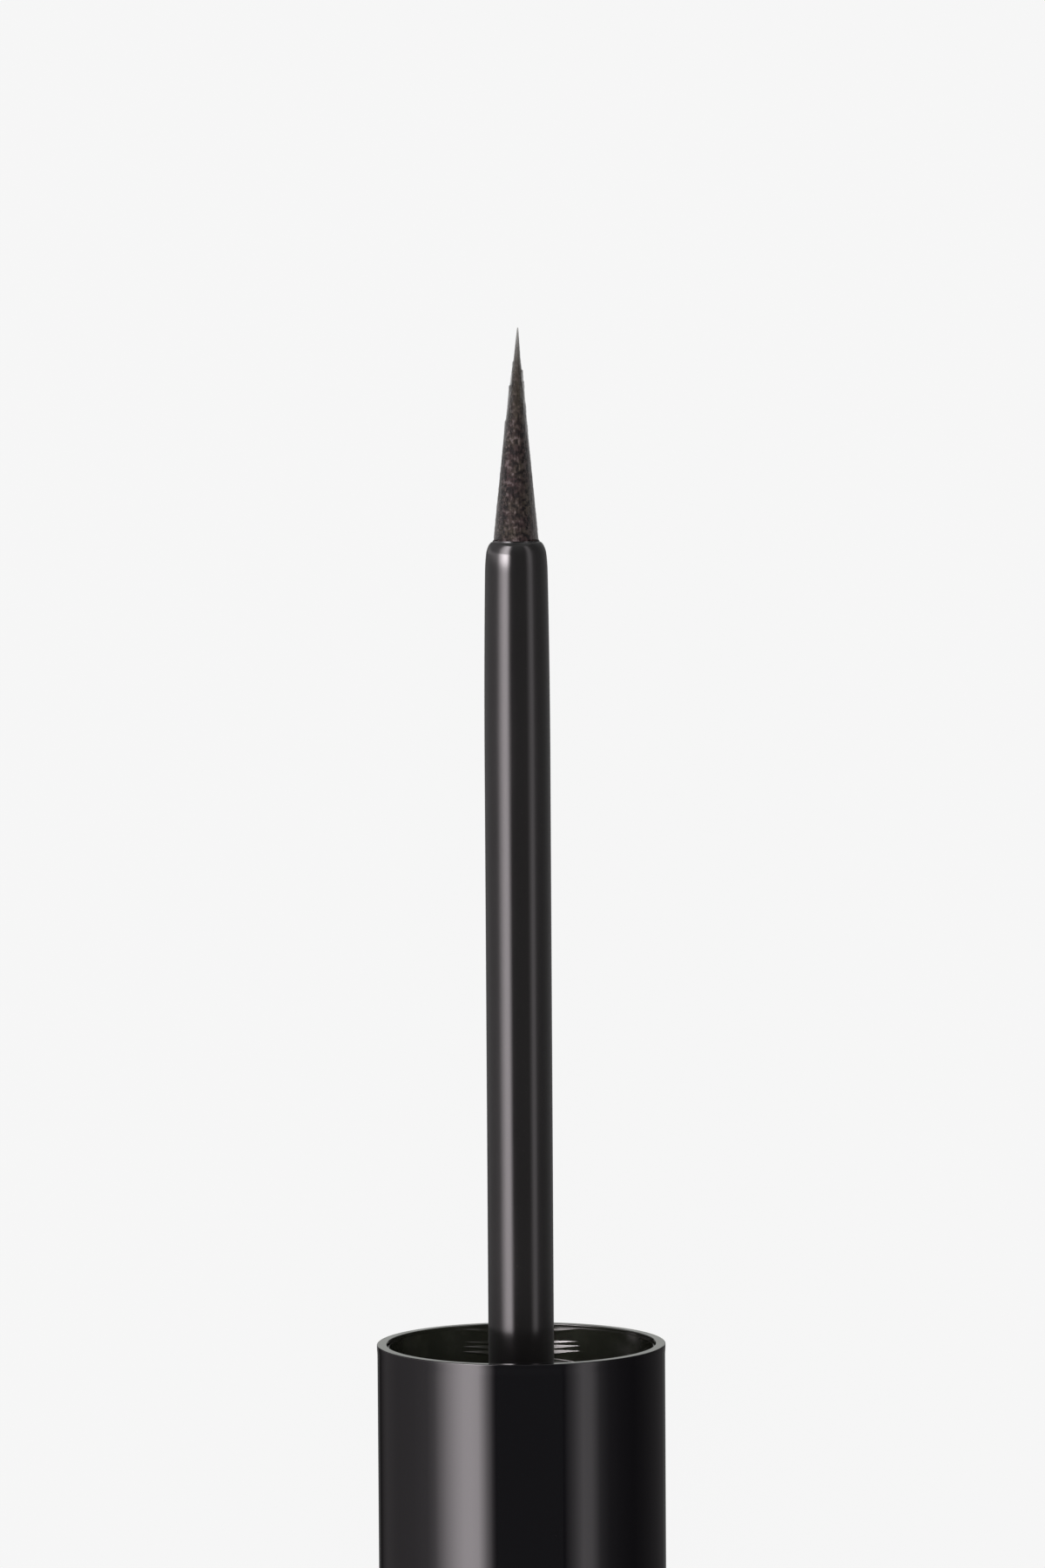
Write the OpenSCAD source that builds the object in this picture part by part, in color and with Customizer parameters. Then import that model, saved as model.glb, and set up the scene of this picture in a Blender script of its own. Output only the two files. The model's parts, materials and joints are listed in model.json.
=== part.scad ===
// Dip-type liquid eyeliner: a screw cap with its wand and fibre tip, and the bottle that it closes.
// The cap is taken off. Both lie on one axis, along X, from the centre of the bottle's flat base.
// The bottle runs towards +X, and the wand points back at its neck from the cap beyond.

/* [Pen] */
// Outer diameter of the cap's body and of the bottle
pen_d = 13.16; // [12.76:0.1:16.06]
// Gap between lip and flange when the pen is closed
closed_gap = 0.15; // [0.05:0.05:0.5]
// Clear distance between the bottle and the tip with the cap taken off
apart = 17.3; // [5:0.1:40]

/* [Cap] */
// Length of the cap from its lip to its closed end
cap_len = 52; // [36:1:70]
// How far the lip stands proud of the body, on the radius
lip_proud = 0.02; // [0.01:0.01:0.2]
// Length of the thickened lip along the axis
lip_len = 0.45; // [0.2:0.05:1]
// Wall of the shell round the inner cap, at the body
shell_wall = 0.43; // [0.33:0.05:0.58]
// Wall of the shell behind the inner cap
shell_back_wall = 1.1; // [0.8:0.05:1.6]
// Thickness of the cap's closed end
cap_end_t = 1.5; // [1:0.1:3]
// Radius of the closed end's outer edge
cap_edge_r = 0.5; // [0.1:0.05:1]

/* [Inner cap] */
// How far the inner cap's end lies inside the lip
inner_recess = 0.15; // [0.1:0.05:1]
// Wall of the inner cap outside its thread
inner_wall = 0.35; // [0.3:0.05:1]
// Size of the chamfer that leads the neck into the inner cap
inner_lead = 0.3; // [0.1:0.05:0.3]
// Thickness of the inner cap's floor
inner_floor_t = 1.5; // [1:0.1:2.5]
// Length of the stem socket behind the floor
socket_len = 6; // [4:0.5:10]
// Wall of the stem socket
socket_wall = 1.2; // [0.8:0.1:1.6]
// Number of ribs that stiffen the socket
rib_count = 4; // [3:1:6]
// Thickness of a rib
rib_t = 0.8; // [0.5:0.1:1.2]
// Length of the steel weight behind the socket
weight_len = 12; // [6:1:14]

/* [Thread] */
// Advance of the two-start thread in one turn
thread_lead = 4; // [3.6:0.1:4.4]
// Height of a thread ridge
thread_depth = 0.6; // [0.4:0.05:0.65]
// Width of a ridge at its root
ridge_root_w = 1.1; // [0.8:0.05:1.15]
// Width of a ridge at its crest
ridge_crest_w = 0.45; // [0.2:0.05:0.5]
// Turns that each ridge runs inside the cap
cap_ridge_turns = 1.5; // [1:0.05:1.6]
// Turns that each ridge runs on the neck
neck_ridge_turns = 1.25; // [1:0.05:1.4]
// Depth of the first cap ridge's middle below the lip
cap_ridge_start = 2; // [1.5:0.05:2.3]

/* [Wand] */
// Diameter of the stem
stem_d = 3; // [2.5:0.02:3.4]
// How much radius the stem's nose loses at its shoulder
nose_taper = 0.1; // [0.02:0.01:0.15]
// Length of the tapered nose
stem_nose_len = 10; // [5:0.5:16]
// Length of the stem outside the cap, from the lip to its shoulder
stem_out = 36.7; // [28:0.1:45]
// Radius of the rounded shoulder
shoulder_r = 0.32; // [0.1:0.02:0.5]
// Diameter of the fibre tip at its base
tip_d = 2.06; // [1.7:0.01:2.14]
// Length of the fibre tip outside the stem
tip_len = 9.7; // [6:0.1:12]
// Diameter of the fibre tip's tail in the stem
tail_d = 1.46; // [1:0.02:1.5]
// Length of the tail
tail_len = 5.9; // [3:0.1:8]

/* [Bottle] */
// Wall of the outer sleeve
sleeve_wall = 0.6; // [0.4:0.05:0.8]
// Thickness of the base plug's disc
plug_t = 1.2; // [0.8:0.1:2]
// Length of the base plug's spigot
spigot_len = 3; // [2:0.1:5]
// Wall of the vial
vial_wall = 0.9; // [0.6:0.05:1.1]
// Thickness of the vial's floor
vial_floor_t = 1; // [0.6:0.1:2]
// Thickness of the vial's flange on the sleeve
flange_t = 0.8; // [0.5:0.1:1.2]
// Room between the tip and the vial's floor when the pen is closed
tip_room = 2.3; // [1:0.1:6]
// Height of the neck above the flange
neck_h = 11; // [9:0.1:13]
// Wall of the neck under its thread
neck_wall = 0.85; // [0.6:0.05:1]

/* [Wiper, seal and liquid] */
// Thickness of the wiper's flange on the neck
wiper_flange_t = 0.8; // [0.5:0.05:1.2]
// Length of the wiper's tube in the neck
wiper_len = 7; // [5:0.1:8]
// Wall of the wiper's tube
wiper_wall = 0.7; // [0.4:0.05:0.9]
// Length of the orifice that wipes the stem
orifice_len = 0.6; // [0.3:0.05:1]
// Thickness of the cap seal
seal_t = 0.8; // [0.5:0.05:1.2]
// Diameter of the mixing ball
ball_d = 3; // [2:0.1:3]

/* [Fits] */
// Radial clearance between pieces that are glued or pressed together
seat_gap = 0.05; // [0.02:0.01:0.08]
// Radial clearance of the stem in the wiper's orifice
orifice_gap = 0.04; // [0.02:0.01:0.08]
// Radial clearance between the cap's and the neck's ridges and roots
thread_gap = 0.15; // [0.1:0.01:0.2]
// Radial clearance of the loose seal
seal_gap = 0.3; // [0.2:0.05:0.5]

/* [Hidden] */

// How far a cut runs past the face that it opens
overrun = 1;
// Facets of round faces
round_n = 96;
// Steps of a rounded edge in a profile
edge_steps = 6;
// Steps of the curved taper on the stem's nose
nose_steps = 8;
// Steps in one turn of a thread ridge
ridge_steps = 30;

// Radii of the cap
pen_r = pen_d / 2;
lip_r = pen_r + lip_proud;
shell_bore_r = pen_r - shell_wall;
shell_back_r = pen_r - shell_back_wall;
inner_r = shell_bore_r - seat_gap;
cap_root_r = inner_r - inner_wall;
cap_crest_r = cap_root_r - thread_depth;
weight_r = shell_back_r - seat_gap;

// Radii of the neck and the bottle
neck_root_r = cap_crest_r - thread_gap;
neck_crest_r = cap_root_r - thread_gap;
neck_ridge_h = neck_crest_r - neck_root_r;
neck_bore_r = neck_root_r - neck_wall;
sleeve_bore_r = pen_r - sleeve_wall;
// Air between the vial and its sleeve
vial_air = 0.3;
vial_r = sleeve_bore_r - vial_air;
vial_bore_r = vial_r - vial_wall;
// Rounding of the edges on sleeve, flange and plug
trim_r = 0.15;
base_edge_r = 0.4;

// Radii of the wand
stem_r = stem_d / 2;
nose_r = stem_r - nose_taper;
tip_r = tip_d / 2;
tail_r = tail_d / 2;
socket_r = stem_r + seat_gap;
boss_r = socket_r + socket_wall;
// Radius of the small moulded ring round the tip's base, and its height
tip_ring_w = 0.04;
tip_ring_h = 0.06;
// Radius of the rounded point
point_r = 0.03;
// Where the tip's even taper ends and its point begins, as shares of its length and base
taper_share = 0.72;
taper_r_share = 0.32;
neck_in_share = 0.84;
neck_in_r_share = 0.18;

// Places along the axis, from the base of the bottle
// Room behind the vial's floor
vial_back_room = 0.5;
vial_x = plug_t + spigot_len + vial_back_room;
vial_floor_x = vial_x + vial_floor_t;
tip_reach = stem_out + tip_len;
flange_x = vial_floor_x + tip_room + tip_reach - closed_gap;
flange_under_x = flange_x - flange_t;
neck_top_x = flange_x + neck_h;
wiper_top_x = neck_top_x + wiper_flange_t;
tip_x = wiper_top_x + apart;
mouth_x = tip_x + tip_reach;
cap_end_x = mouth_x + cap_len;
shoulder_x = mouth_x - stem_out;

// Places inside the cap, from the lip
// End play of the seal and of the neck against it
seal_play = 0.05;
seal_face = wiper_top_x - flange_x - closed_gap + seal_play;
inner_floor = seal_face + seal_t + seal_play;
inner_back = inner_floor + inner_floor_t;
socket_back = inner_back + socket_len;
// Wall left behind the stem in its socket
socket_end_t = 1;
stem_root = socket_back - socket_end_t;
weight_front = socket_back + seat_gap;

// Thread: two ridges half a turn apart, the neck's halfway between the cap's
starts = 2;
thread_pitch = thread_lead / starts;
// Angle at which the ridges start, from the lower side of the mouth
ridge_angle = 0;
// How far a ridge is sunk into its wall
ridge_sunk = 0.25;
// How deep a ridge's ends run out, and the angle that this takes
ridge_fade = 0.06;
ridge_fade_angle = 24;
// Place of the neck's first ridge above the flange: half a pitch behind the cap's when the pen is closed
neck_ridge_start = closed_gap + cap_ridge_start + thread_pitch / 2;
// Chamfer at the top of the neck and at the wiper's mouth
mouth_chamfer = 0.15;

// Wiper
wiper_r = neck_bore_r - seat_gap;
wiper_bore_r = wiper_r - wiper_wall;
wiper_flange_r = neck_root_r - seat_gap;
orifice_r = stem_r + orifice_gap;
// Share of the wiper's tube that is straight before it draws in
wiper_straight_share = 0.55;
wiper_straight = wiper_len * wiper_straight_share;

// Liquid, lying along the lower side of the vial
// Clearance of the liquid and the ball from the wall
liquid_gap = 0.05;
liquid_r = vial_bore_r - liquid_gap;
// Clearance between the liquid's level and the stem above it
level_room = 0.17;
level_z = -stem_r - level_room;
ball_r = ball_d / 2;
ball_z = -(liquid_r - ball_r);
// Place of the ball, from the vial's floor, in ball diameters
ball_place_share = 3;
ball_x = vial_floor_x + ball_d * ball_place_share;
// Radius of the way up from the ball's pocket through the liquid's level
pocket_way_r = 0.35;

// How far the vial narrows into its neck, above and below the flange
vial_cone_below = 1.6;
vial_cone_above = 0.4;

// An arc from one angle to another, as profile points
function arc(c, r, a, b, n) =
    [for (i = [0:n]) let (t = a + (b - a) * i / n) [c[0] + r * cos(t), c[1] + r * sin(t)]];

// Turns a profile of [radius, place] about the X axis
module spun(profile) {
    rotate([0, 90, 0])
        rotate_extrude($fn = round_n)
            polygon(profile);
}

// Height of a ridge over its wall at share t of its sweep
function ridge_height(t, sweep, h) =
    let (run_out = min(t, 1 - t) * sweep / ridge_fade_angle)
        -ridge_fade + (h + ridge_fade) * min(1, run_out);

// Half width of a ridge at height h over its wall
function ridge_half(h, full) =
    (ridge_root_w - (ridge_root_w - ridge_crest_w) * h / full) / 2;

// One ridge of the thread, on a wall of radius r. side is 1 on an outer wall and -1 in a bore.
module ridge(r, side, full, turns, x, angle) {
    sweep = 360 * turns;
    n = ceil(ridge_steps * turns);
    points = [for (i = [0:n]) let (
            t = i / n,
            h = ridge_height(t, sweep, full),
            a = angle + sweep * t,
            z = x + thread_lead * turns * t,
            foot = r - side * ridge_sunk,
            top = r + side * h,
            w0 = ridge_half(-ridge_sunk, full),
            w1 = ridge_half(h, full)
        ) each [for (k = [[foot, -w0], [top, -w1], [top, w1], [foot, w0]])
            [k[0] * cos(a), k[0] * sin(a), z + k[1]]]];
    walls = [for (i = [0:n - 1], k = [0:3]) let (
            p = 4 * i + k,
            q = 4 * i + (k + 1) % 4
        ) each [[p, q, q + 4], [p, q + 4, p + 4]]];
    ends = [[0, 2, 1], [0, 3, 2], [4 * n, 4 * n + 1, 4 * n + 2], [4 * n, 4 * n + 2, 4 * n + 3]];
    faces = [for (f = concat(walls, ends)) side > 0 ? f : [f[2], f[1], f[0]]];
    rotate([0, 90, 0])
        polyhedron(points = points, faces = faces);
}

// All the ridges of one thread
module ridges(r, side, full, turns, x) {
    for (s = [0:starts - 1])
        ridge(r, side, full, turns, x, ridge_angle + 360 * s / starts);
}

module bottle_sleeve() {
    color([0.05, 0.05, 0.055])
        spun(concat(
            [[sleeve_bore_r, plug_t], [pen_r, plug_t]],
            arc([pen_r - trim_r, flange_under_x - trim_r], trim_r, 0, 90, edge_steps),
            [[sleeve_bore_r, flange_under_x]]));
}

module base_plug() {
    color([0.05, 0.05, 0.055])
        spun(concat(
            [[0, 0]],
            arc([pen_r - base_edge_r, base_edge_r], base_edge_r, -90, 0, edge_steps),
            [[pen_r, plug_t], [sleeve_bore_r - seat_gap, plug_t],
             [sleeve_bore_r - seat_gap, plug_t + spigot_len],
             [sleeve_bore_r - seat_gap - plug_t, plug_t + spigot_len],
             [sleeve_bore_r - seat_gap - plug_t, plug_t], [0, plug_t]]));
}

module vial() {
    color([0.09, 0.09, 0.095])
        union() {
            spun(concat(
                [[0, vial_x], [vial_r, vial_x], [vial_r, flange_under_x]],
                arc([pen_r - trim_r, flange_under_x + trim_r], trim_r, -90, 0, edge_steps),
                arc([pen_r - trim_r, flange_x - trim_r], trim_r, 0, 90, edge_steps),
                [[neck_root_r, flange_x], [neck_root_r, neck_top_x - mouth_chamfer],
                 [neck_root_r - mouth_chamfer, neck_top_x], [neck_bore_r, neck_top_x],
                 [neck_bore_r, flange_x + vial_cone_above],
                 [vial_bore_r, flange_x - vial_cone_below],
                 [vial_bore_r, vial_floor_x], [0, vial_floor_x]]));
            ridges(neck_root_r, 1, neck_ridge_h, neck_ridge_turns, flange_x + neck_ridge_start);
        }
}

module wiper() {
    color([0.86, 0.86, 0.84])
        spun([
            [orifice_r, neck_top_x - wiper_len],
            [orifice_r + wiper_wall, neck_top_x - wiper_len],
            [wiper_r, neck_top_x - wiper_straight],
            [wiper_r, neck_top_x],
            [wiper_flange_r, neck_top_x],
            [wiper_flange_r, wiper_top_x - mouth_chamfer],
            [wiper_flange_r - mouth_chamfer, wiper_top_x],
            [wiper_bore_r + mouth_chamfer, wiper_top_x],
            [wiper_bore_r, wiper_top_x - mouth_chamfer],
            [wiper_bore_r, neck_top_x - wiper_straight],
            [orifice_r, neck_top_x - wiper_len + orifice_len]]);
}

// The liquid fills the lower part of the vial and goes round the ball. The ball's pocket is
// open at the top, also where the liquid would stand higher than the ball.
module ink() {
    liquid_len = flange_x - vial_cone_below - vial_floor_x - 2 * liquid_gap;
    color([0.02, 0.018, 0.02])
        difference() {
            translate([vial_floor_x + liquid_gap, 0, 0])
                rotate([0, 90, 0])
                    cylinder(r = liquid_r, h = liquid_len, $fn = round_n);
            translate([vial_floor_x - overrun, -vial_r, level_z])
                cube([liquid_len + 2 * overrun, 2 * vial_r, 2 * vial_r]);
            translate([ball_x, 0, ball_z])
                sphere(r = ball_r + liquid_gap, $fn = round_n);
            translate([ball_x, 0, ball_z])
                cylinder(r = pocket_way_r, h = vial_r, $fn = round_n);
        }
}

module mixing_ball() {
    color([0.75, 0.76, 0.78])
        translate([ball_x, 0, ball_z])
            sphere(r = ball_r, $fn = round_n);
}

module cap_seal() {
    color([0.9, 0.9, 0.88])
        spun([
            [stem_r + seal_gap, mouth_x + seal_face],
            [stem_r + seal_gap, mouth_x + seal_face + seal_t],
            [cap_root_r - seal_gap, mouth_x + seal_face + seal_t],
            [cap_root_r - seal_gap, mouth_x + seal_face]]);
}

module cap_shell() {
    lip_edge = lip_len / 3;
    color([0.03, 0.03, 0.035])
        spun(concat(
            arc([lip_r - lip_edge, mouth_x + lip_edge], lip_edge, -90, 0, edge_steps),
            [[pen_r, mouth_x + lip_len]],
            arc([pen_r - cap_edge_r, cap_end_x - cap_edge_r], cap_edge_r, 0, 90, edge_steps),
            [[0, cap_end_x], [0, cap_end_x - cap_end_t], [shell_back_r, cap_end_x - cap_end_t],
             [shell_back_r, mouth_x + inner_back], [shell_bore_r, mouth_x + inner_back],
             [shell_bore_r, mouth_x]]));
}

module inner_cap() {
    // The ribs stop short of the shell's thicker wall
    rib_reach = shell_back_r - seat_gap;
    // Length of a rib along the socket
    rib_len = socket_len - socket_end_t;
    color([0.07, 0.07, 0.075])
        union() {
            spun([
                [cap_root_r + inner_lead, mouth_x + inner_recess],
                [inner_r, mouth_x + inner_recess],
                [inner_r, mouth_x + inner_back],
                [boss_r, mouth_x + inner_back],
                [boss_r, mouth_x + socket_back],
                [0, mouth_x + socket_back],
                [0, mouth_x + stem_root],
                [socket_r, mouth_x + stem_root],
                [socket_r, mouth_x + inner_floor],
                [cap_root_r, mouth_x + inner_floor],
                [cap_root_r, mouth_x + inner_recess + inner_lead]]);
            ridges(cap_root_r, -1, thread_depth, cap_ridge_turns, mouth_x + cap_ridge_start);
            for (i = [0:rib_count - 1])
                rotate([360 * i / rib_count, 0, 0])
                    translate([mouth_x + inner_back - seat_gap, socket_r + socket_wall / 2, -rib_t / 2])
                        cube([rib_len + seat_gap, rib_reach - socket_r - socket_wall / 2, rib_t]);
        }
}

module cap_weight() {
    color([0.72, 0.73, 0.75])
        spun([
            [0, mouth_x + weight_front],
            [weight_r - trim_r, mouth_x + weight_front],
            [weight_r, mouth_x + weight_front + trim_r],
            [weight_r, mouth_x + weight_front + weight_len - trim_r],
            [weight_r - trim_r, mouth_x + weight_front + weight_len],
            [0, mouth_x + weight_front + weight_len]]);
}

module stem() {
    // The nose's radius at a distance from the shoulder, easing out to the full stem
    nose = [for (i = [0:nose_steps]) let (s = i / nose_steps)
        [stem_r - nose_taper * pow(1 - s, 2), shoulder_x + shoulder_r + (stem_nose_len - shoulder_r) * s]];
    pocket_r = tail_r + seat_gap;
    pocket_x = shoulder_x + tail_len + seat_gap;
    ring_r = tip_r + tip_ring_w;
    edge_r = min(shoulder_r, nose_r - ring_r);
    color([0.03, 0.03, 0.035])
        spun(concat(
            [[0, pocket_x], [pocket_r, pocket_x], [pocket_r, shoulder_x], [tip_r, shoulder_x],
             [tip_r + tip_ring_w / 2, shoulder_x - tip_ring_h], [ring_r, shoulder_x]],
            arc([nose_r - edge_r, shoulder_x + edge_r], edge_r, -90, 0, edge_steps),
            [for (i = [1:nose_steps]) nose[i]],
            [[stem_r, mouth_x + stem_root - seat_gap], [0, mouth_x + stem_root - seat_gap]]));
}

module fibre_tip() {
    color([0.17, 0.13, 0.11])
        spun(concat(
            [[0, shoulder_x + tail_len], [tail_r, shoulder_x + tail_len], [tail_r, shoulder_x],
             [tip_r, shoulder_x],
             [tip_r * taper_r_share, shoulder_x - tip_len * taper_share],
             [tip_r * neck_in_r_share, shoulder_x - tip_len * neck_in_share]],
            arc([0, tip_x + point_r], point_r, 0, -90, edge_steps)));
}

bottle_sleeve();
base_plug();
vial();
wiper();
ink();
mixing_ball();
cap_seal();
cap_shell();
inner_cap();
cap_weight();
stem();
fibre_tip();
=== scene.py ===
"""Dresses a dip-type liquid eyeliner, with its cap taken off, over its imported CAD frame.

Every piece is a fine mesh in the place of its CAD node, in metres, with a procedural finish.
The pen lies along the X axis: the bottle at the origin, and the cap with its wand beyond.
"""

import json
import math

import bmesh
import bpy
import numpy as np
from mathutils import Matrix, Vector, noise


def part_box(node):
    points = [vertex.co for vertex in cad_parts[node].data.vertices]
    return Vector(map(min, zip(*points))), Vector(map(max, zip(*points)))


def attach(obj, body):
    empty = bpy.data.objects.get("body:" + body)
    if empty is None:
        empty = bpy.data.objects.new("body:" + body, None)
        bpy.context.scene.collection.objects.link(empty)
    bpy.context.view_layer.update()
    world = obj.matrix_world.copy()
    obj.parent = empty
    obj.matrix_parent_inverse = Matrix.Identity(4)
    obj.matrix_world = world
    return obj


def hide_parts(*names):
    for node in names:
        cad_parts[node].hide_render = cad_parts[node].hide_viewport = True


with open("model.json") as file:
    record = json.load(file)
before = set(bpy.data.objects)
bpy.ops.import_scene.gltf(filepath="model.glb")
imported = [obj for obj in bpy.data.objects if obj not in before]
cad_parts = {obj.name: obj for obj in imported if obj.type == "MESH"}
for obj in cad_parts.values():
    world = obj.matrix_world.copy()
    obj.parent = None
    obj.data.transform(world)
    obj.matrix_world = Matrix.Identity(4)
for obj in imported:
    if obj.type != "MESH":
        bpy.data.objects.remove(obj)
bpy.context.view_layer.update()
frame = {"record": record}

bl_info = {
    "name": "Dip eyeliner",
    "version": (1, 0, 0),
    "blender": (4, 5, 0),
    "location": "View3D > Sidebar > Eyeliner",
    "description": "Builds the pieces and finishes of a dip-type eyeliner, and the studio round it",
    "category": "Object",
}

MM = 0.001
TURN = 2 * math.pi
# Faces round a turned piece, and round the fine-grained felt
ROUND_STEPS = 192
FELT_STEPS = 160
# Edges sharper than this stay hard
HARD_EDGE = math.radians(35)
# Distance from an edge at which a long face gets a line that keeps it flat
HOLD = 0.06 * MM
# Points closer to the axis than this lie on it
ON_AXIS = 1e-7
# Radius of an edge that looks crisp
CRISP = 0.05 * MM


# Settings


def length(name, text, mm):
    """A size in millimetres, kept in metres."""
    return bpy.props.FloatProperty(
        name=name, description=text, default=mm * MM, min=0.0, unit="LENGTH", precision=5)


def number(name, text, value, high=1.0):
    """A plain number from nothing up to high."""
    return bpy.props.FloatProperty(
        name=name, description=text, default=value, min=0.0, max=high, precision=4)


def colour(name, text, value):
    """A colour of a finish or a light."""
    return bpy.props.FloatVectorProperty(
        name=name, description=text, default=value, size=3, min=0.0, max=1.0, subtype="COLOR")


class CapSizes(bpy.types.PropertyGroup):
    """Sizes of the cap's shell, its threaded insert and its weight"""

    lip_len: length("Lip length", "Length of the thickened lip", 0.45)
    lip_proud: length("Lip height", "How far the lip stands proud of the body", 0.02)
    lip_wall: length("Lip wall", "Wall of the lip at the mouth", 0.45)
    lip_edge: length("Lip edge", "Radius of the lip's outer edge", 0.06)
    lip_inner_edge: length("Lip inner edge", "Radius of the lip's inner edge", 0.04)
    back_wall: length("Back wall", "Wall of the shell behind the insert", 1.1)
    end_wall: length("End wall", "Thickness of the closed end", 1.5)
    end_edge: length("End edge", "Radius of the closed end's edge", 0.5)
    insert_wall: length("Insert wall", "Wall of the insert outside its thread", 0.35)
    insert_floor: length("Insert floor", "Thickness of the insert's floor", 1.5)
    socket_len: length("Socket length", "Length of the stem's socket behind the floor", 6)
    socket_wall: length("Socket wall", "Wall of the stem's socket", 1.2)
    socket_end: length("Socket end", "Wall behind the stem", 1)
    rib_wall: length("Rib", "Thickness of a rib on the socket", 0.8)
    ribs: bpy.props.IntProperty(name="Ribs", description="Ribs round the socket", default=4, min=2)
    seat: length("Seat gap", "Clearance of pieces that are glued or pressed together", 0.05)
    lead_in: length("Lead-in", "Length of the wider bore at the insert's mouth", 1.75)
    lead_cone: length("Lead-in cone", "Length in which that bore narrows to the thread's root", 0.3)
    chamfer: length("Chamfer", "Chamfer at the neck's and the wiper's mouth", 0.15)


class WandSizes(bpy.types.PropertyGroup):
    """Sizes of the stem and its felt tip"""

    nose_taper: length("Nose taper", "Radius that the nose loses at its shoulder", 0.1)
    nose_len: length("Nose length", "Length of the tapered nose", 10)
    shoulder: length("Shoulder", "Length of the rounded shoulder", 0.56)
    shoulder_worn: length("Shoulder worn", "How much more the shoulder is worn down", 0.11)
    worn_len: length("Worn length", "How far the wear reaches from the shoulder", 1.4)
    ring_wide: length("Ring width", "Width of the small ring round the tip", 0.04)
    ring_high: length("Ring height", "Height of the small ring round the tip", 0.06)
    tail_r: length("Tail radius", "Radius of the tip's tail in the stem", 0.73)
    tail_len: length("Tail length", "Length of the tip's tail", 5.9)
    point_r: length("Point radius", "Radius of the tip's point", 0.03)
    lean: length("Lean", "How far the felt's point bends aside", 0.13)
    fuzz: length("Fuzz", "Height of the fibres on the felt", 0.022)


class BottleSizes(bpy.types.PropertyGroup):
    """Sizes of the bottle's sleeve, plug, vial and wiper"""

    sleeve_wall: length("Sleeve wall", "Wall of the outer sleeve", 0.6)
    trim_edge: length("Trim edge", "Radius of the edges at the flange", 0.15)
    base_edge: length("Base edge", "Radius of the base's edge", 0.4)
    plug_disc: length("Plug disc", "Thickness of the base plug's disc", 1.2)
    foot_wide: length("Foot", "Width of the flat ring that the base stands on", 1.1)
    foot_deep: length("Foot depth", "Depth of the base's hollow inside its foot", 0.22)
    vial_air: length("Vial air", "Air between the vial and the sleeve", 0.3)
    vial_wall: length("Vial wall", "Wall of the vial", 0.9)
    vial_floor: length("Vial floor", "Thickness of the vial's floor", 1)
    flange: length("Flange", "Thickness of the vial's flange", 0.8)
    neck_high: length("Neck height", "Height of the neck over the flange", 11)
    neck_root_r: length("Neck radius", "Radius of the neck under its thread", 5.0)
    neck_wall: length("Neck wall", "Wall of the neck under its thread", 0.85)
    cone_below: length("Cone below", "How far below the flange the vial starts to narrow", 1.6)
    cone_above: length("Cone above", "How far above the flange the vial stops narrowing", 0.4)
    wiper_wall: length("Wiper wall", "Wall of the wiper's tube", 0.7)
    wiper_flange: length("Wiper flange", "Thickness of the wiper's flange", 0.8)
    wiper_straight: length("Wiper tube", "Straight length of the wiper's tube", 3.85)
    orifice_len: length("Orifice length", "Length of the orifice that wipes the stem", 0.6)
    orifice_r: length("Orifice radius", "Radius of the wiper's orifice", 1.54)
    liquid_level: length("Liquid level", "How far the liquid stands below the axis", 1.67)
    meniscus: length("Meniscus", "How high the liquid climbs its walls", 0.13)


class ThreadSizes(bpy.types.PropertyGroup):
    """Sizes of the two-start thread on the neck and in the cap"""

    starts: bpy.props.IntProperty(name="Starts", description="Ridges side by side", default=2, min=1)
    lead: length("Lead", "Advance in one turn", 4)
    root_wide: length("Root width", "Width of a ridge at its root", 1.1)
    crest_wide: length("Crest width", "Width of a ridge at its crest", 0.45)
    cap_high: length("Cap ridge", "Height of a ridge in the cap", 0.6)
    neck_high: length("Neck ridge", "Height of a ridge on the neck", 0.6)
    cap_turns: number("Cap turns", "Turns of each ridge in the cap", 1.5, high=3)
    neck_turns: number("Neck turns", "Turns of each ridge on the neck", 1.25, high=3)
    cap_start: length("Cap start", "Depth of the first ridge below the lip", 2.0)
    neck_start: length("Neck start", "Height of the first ridge over the flange", 3.15)
    run_out: bpy.props.FloatProperty(
        name="Run-out", description="Angle in which a ridge's end rises",
        default=math.radians(24), subtype="ANGLE")


class FinishColours(bpy.types.PropertyGroup):
    """Colours of the finishes"""

    gloss: colour("Gloss black", "Polished black plastic of cap and sleeve", (0.0066, 0.0060, 0.0082))
    stem: colour("Stem black", "Polished black plastic of the stem", (0.0152, 0.0134, 0.0138))
    satin: colour("Satin black", "Satin black plastic of insert and vial", (0.012, 0.012, 0.0125))
    insert: colour("Insert black", "Plastic of the threaded insert", (0.040, 0.042, 0.031))
    natural: colour("Natural plastic", "Translucent plastic of the wiper", (0.34, 0.34, 0.32))
    foam: colour("Foam", "Foamed plastic of the seal", (0.45, 0.45, 0.43))
    steel: colour("Steel", "Steel of the weight and the ball", (0.55, 0.56, 0.58))
    felt_dark: colour("Felt, dark", "Fibres full of pigment", (0.0080, 0.0058, 0.0058))
    felt_brown: colour("Felt, brown", "Fibres in most of the tip", (0.043, 0.026, 0.026))
    # Pale dry fibres; as specks on the felt they also serve as painted glints
    felt_light: colour("Felt, light", "Dry fibres that catch the light", (0.20, 0.155, 0.155))
    liquid: colour("Liquid", "The make-up itself", (0.0045, 0.0035, 0.004))


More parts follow.
